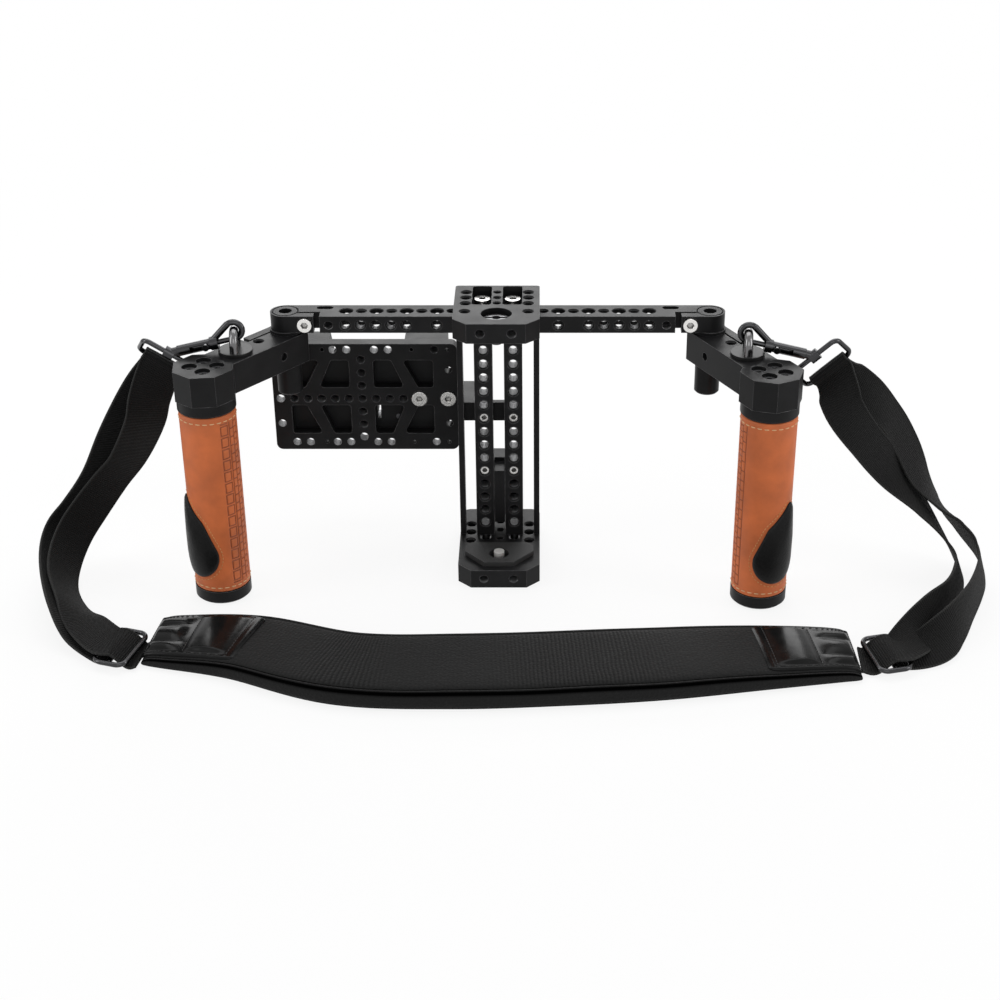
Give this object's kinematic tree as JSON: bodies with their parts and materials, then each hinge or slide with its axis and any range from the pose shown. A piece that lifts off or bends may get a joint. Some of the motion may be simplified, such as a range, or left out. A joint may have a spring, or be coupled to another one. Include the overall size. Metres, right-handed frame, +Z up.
{
  "type": "monitor cage",
  "caption": "Cage for a small camera monitor with sliding plates, perforated bars, swinging leather hand grips, a battery plate and a padded neck strap on snap hooks.",
  "frame": {"origin": "on the centre plane, on the underside of the bottom plate, 44 mm behind its front edge", "axes": "+X to the viewer's right along the crossbar, +Y away from the viewer, +Z up"},
  "size_m": [0.5785, 0.2291, 0.1735],
  "materials": {
    "black_metal": "black anodised, satin",
    "steel": "bright stainless",
    "black_steel": "black oxide",
    "gunmetal": "dark nickel",
    "tan_leather": "vegetable tanned, satin",
    "black_leather": "grained, matt",
    "rubber": "matt",
    "neoprene": "ribbed knit over foam",
    "webbing": "ribbed polyester webbing",
    "patent": "glossy",
    "plastic": "matt"
  },
  "bodies": {
    "frame": {"crossbar": "black_metal", "left_bar": "black_metal", "right_bar": "black_metal", "side_rails": "black_metal", "left_rod": "black_metal", "right_rod": "black_metal", "rod_spacers": "black_metal", "clamp_screws": "steel", "bar_end_screws": "steel", "bar_set_screws": "steel", "bracket": "black_metal", "side_plate": "black_metal", "plate_screws": "steel", "battery_slide": "black_metal", "slide_screws": "black_steel", "contact_block": "plastic", "rear_block": "black_metal", "strap_pad": "neoprene", "left_patch": "patent", "right_patch": "patent", "left_slider": "gunmetal", "right_slider": "gunmetal", "left_webbing": "webbing", "right_webbing": "webbing"},
    "latch": {"release_latch": "black_steel"},
    "top": {"top_plate": "black_metal"},
    "top_captive": {"top_screw": "gunmetal"},
    "bottom": {"bottom_plate": "black_metal", "bottom_pad": "rubber"},
    "bottom_captive": {"bottom_screw": "steel"},
    "left_arm": {"left_arm": "black_metal", "left_arm_screw": "black_steel", "left_head_screws": "black_steel", "left_core": "black_metal", "left_collar": "black_metal", "left_leather": "tan_leather", "left_end_cap": "black_metal", "left_thumb_pad": "black_leather", "left_eye_bolt": "gunmetal", "left_hook": "gunmetal"},
    "left_gate": {"left_gate": "gunmetal"},
    "left_loop": {"left_loop_ring": "gunmetal"},
    "right_arm": {"right_arm": "black_metal", "right_arm_screw": "black_steel", "right_head_screws": "black_steel", "right_core": "black_metal", "right_collar": "black_metal", "right_leather": "tan_leather", "right_end_cap": "black_metal", "right_thumb_pad": "black_leather", "right_eye_bolt": "gunmetal", "right_hook": "gunmetal"},
    "right_gate": {"right_gate": "gunmetal"},
    "right_loop": {"right_loop_ring": "gunmetal"}
  },
  "joints": [
    {"name": "left_arm_swing", "type": "hinge", "parent": "frame", "child": "left_arm", "pos_m": [-0.1262, 0.006, 0.13975], "axis": [0, 0, 1], "range_deg": [-57, 95], "deforming": ["left_webbing"]},
    {"name": "left_gate_slide", "type": "slide", "parent": "left_arm", "child": "left_gate", "axis": [-0.9758, -0.0682, -0.2079], "range_m": [0, 0.008], "stiffness_N_per_m": 250, "springref_m": -0.004},
    {"name": "left_loop_turn", "type": "hinge", "parent": "left_arm", "child": "left_loop", "pos_m": [-0.19004, -0.02938, 0.14943], "axis": [0.8478, -0.0222, -0.5299], "range_deg": [-15, 15], "deforming": ["left_webbing"]},
    {"name": "right_arm_swing", "type": "hinge", "parent": "frame", "child": "right_arm", "pos_m": [0.1262, 0.006, 0.13975], "axis": [0, 0, 1], "range_deg": [-85, 67], "deforming": ["right_webbing"]},
    {"name": "right_gate_slide", "type": "slide", "parent": "right_arm", "child": "right_gate", "axis": [0.9758, -0.0682, -0.2079], "range_m": [0, 0.008], "stiffness_N_per_m": 250, "springref_m": -0.004},
    {"name": "right_loop_turn", "type": "hinge", "parent": "right_arm", "child": "right_loop", "pos_m": [0.18365, -0.03349, 0.14943], "axis": [0.7431, 0, 0.6691], "range_deg": [-15, 15], "deforming": ["right_webbing"]},
    {"name": "top_plate_slide", "type": "slide", "parent": "frame", "child": "top", "axis": [0, 1, 0], "range_m": [-0.003, 0.014]},
    {"name": "top_screw_turn", "type": "hinge", "parent": "top", "child": "top_captive", "pos_m": [0, -0.028, 0.164], "axis": [0, 0, 1], "continuous": true},
    {"name": "bottom_plate_slide", "type": "slide", "parent": "frame", "child": "bottom", "axis": [0, 1, 0], "range_m": [-0.008, 0.008]},
    {"name": "bottom_screw_turn", "type": "hinge", "parent": "bottom", "child": "bottom_captive", "pos_m": [0, -0.028, 0.0095], "axis": [0, 0, 1], "continuous": true},
    {"name": "latch_push", "type": "slide", "parent": "frame", "child": "latch", "axis": [0, 0, 1], "range_m": [0, 0.002], "stiffness_N_per_m": 600, "springref_m": -0.001}
  ]
}
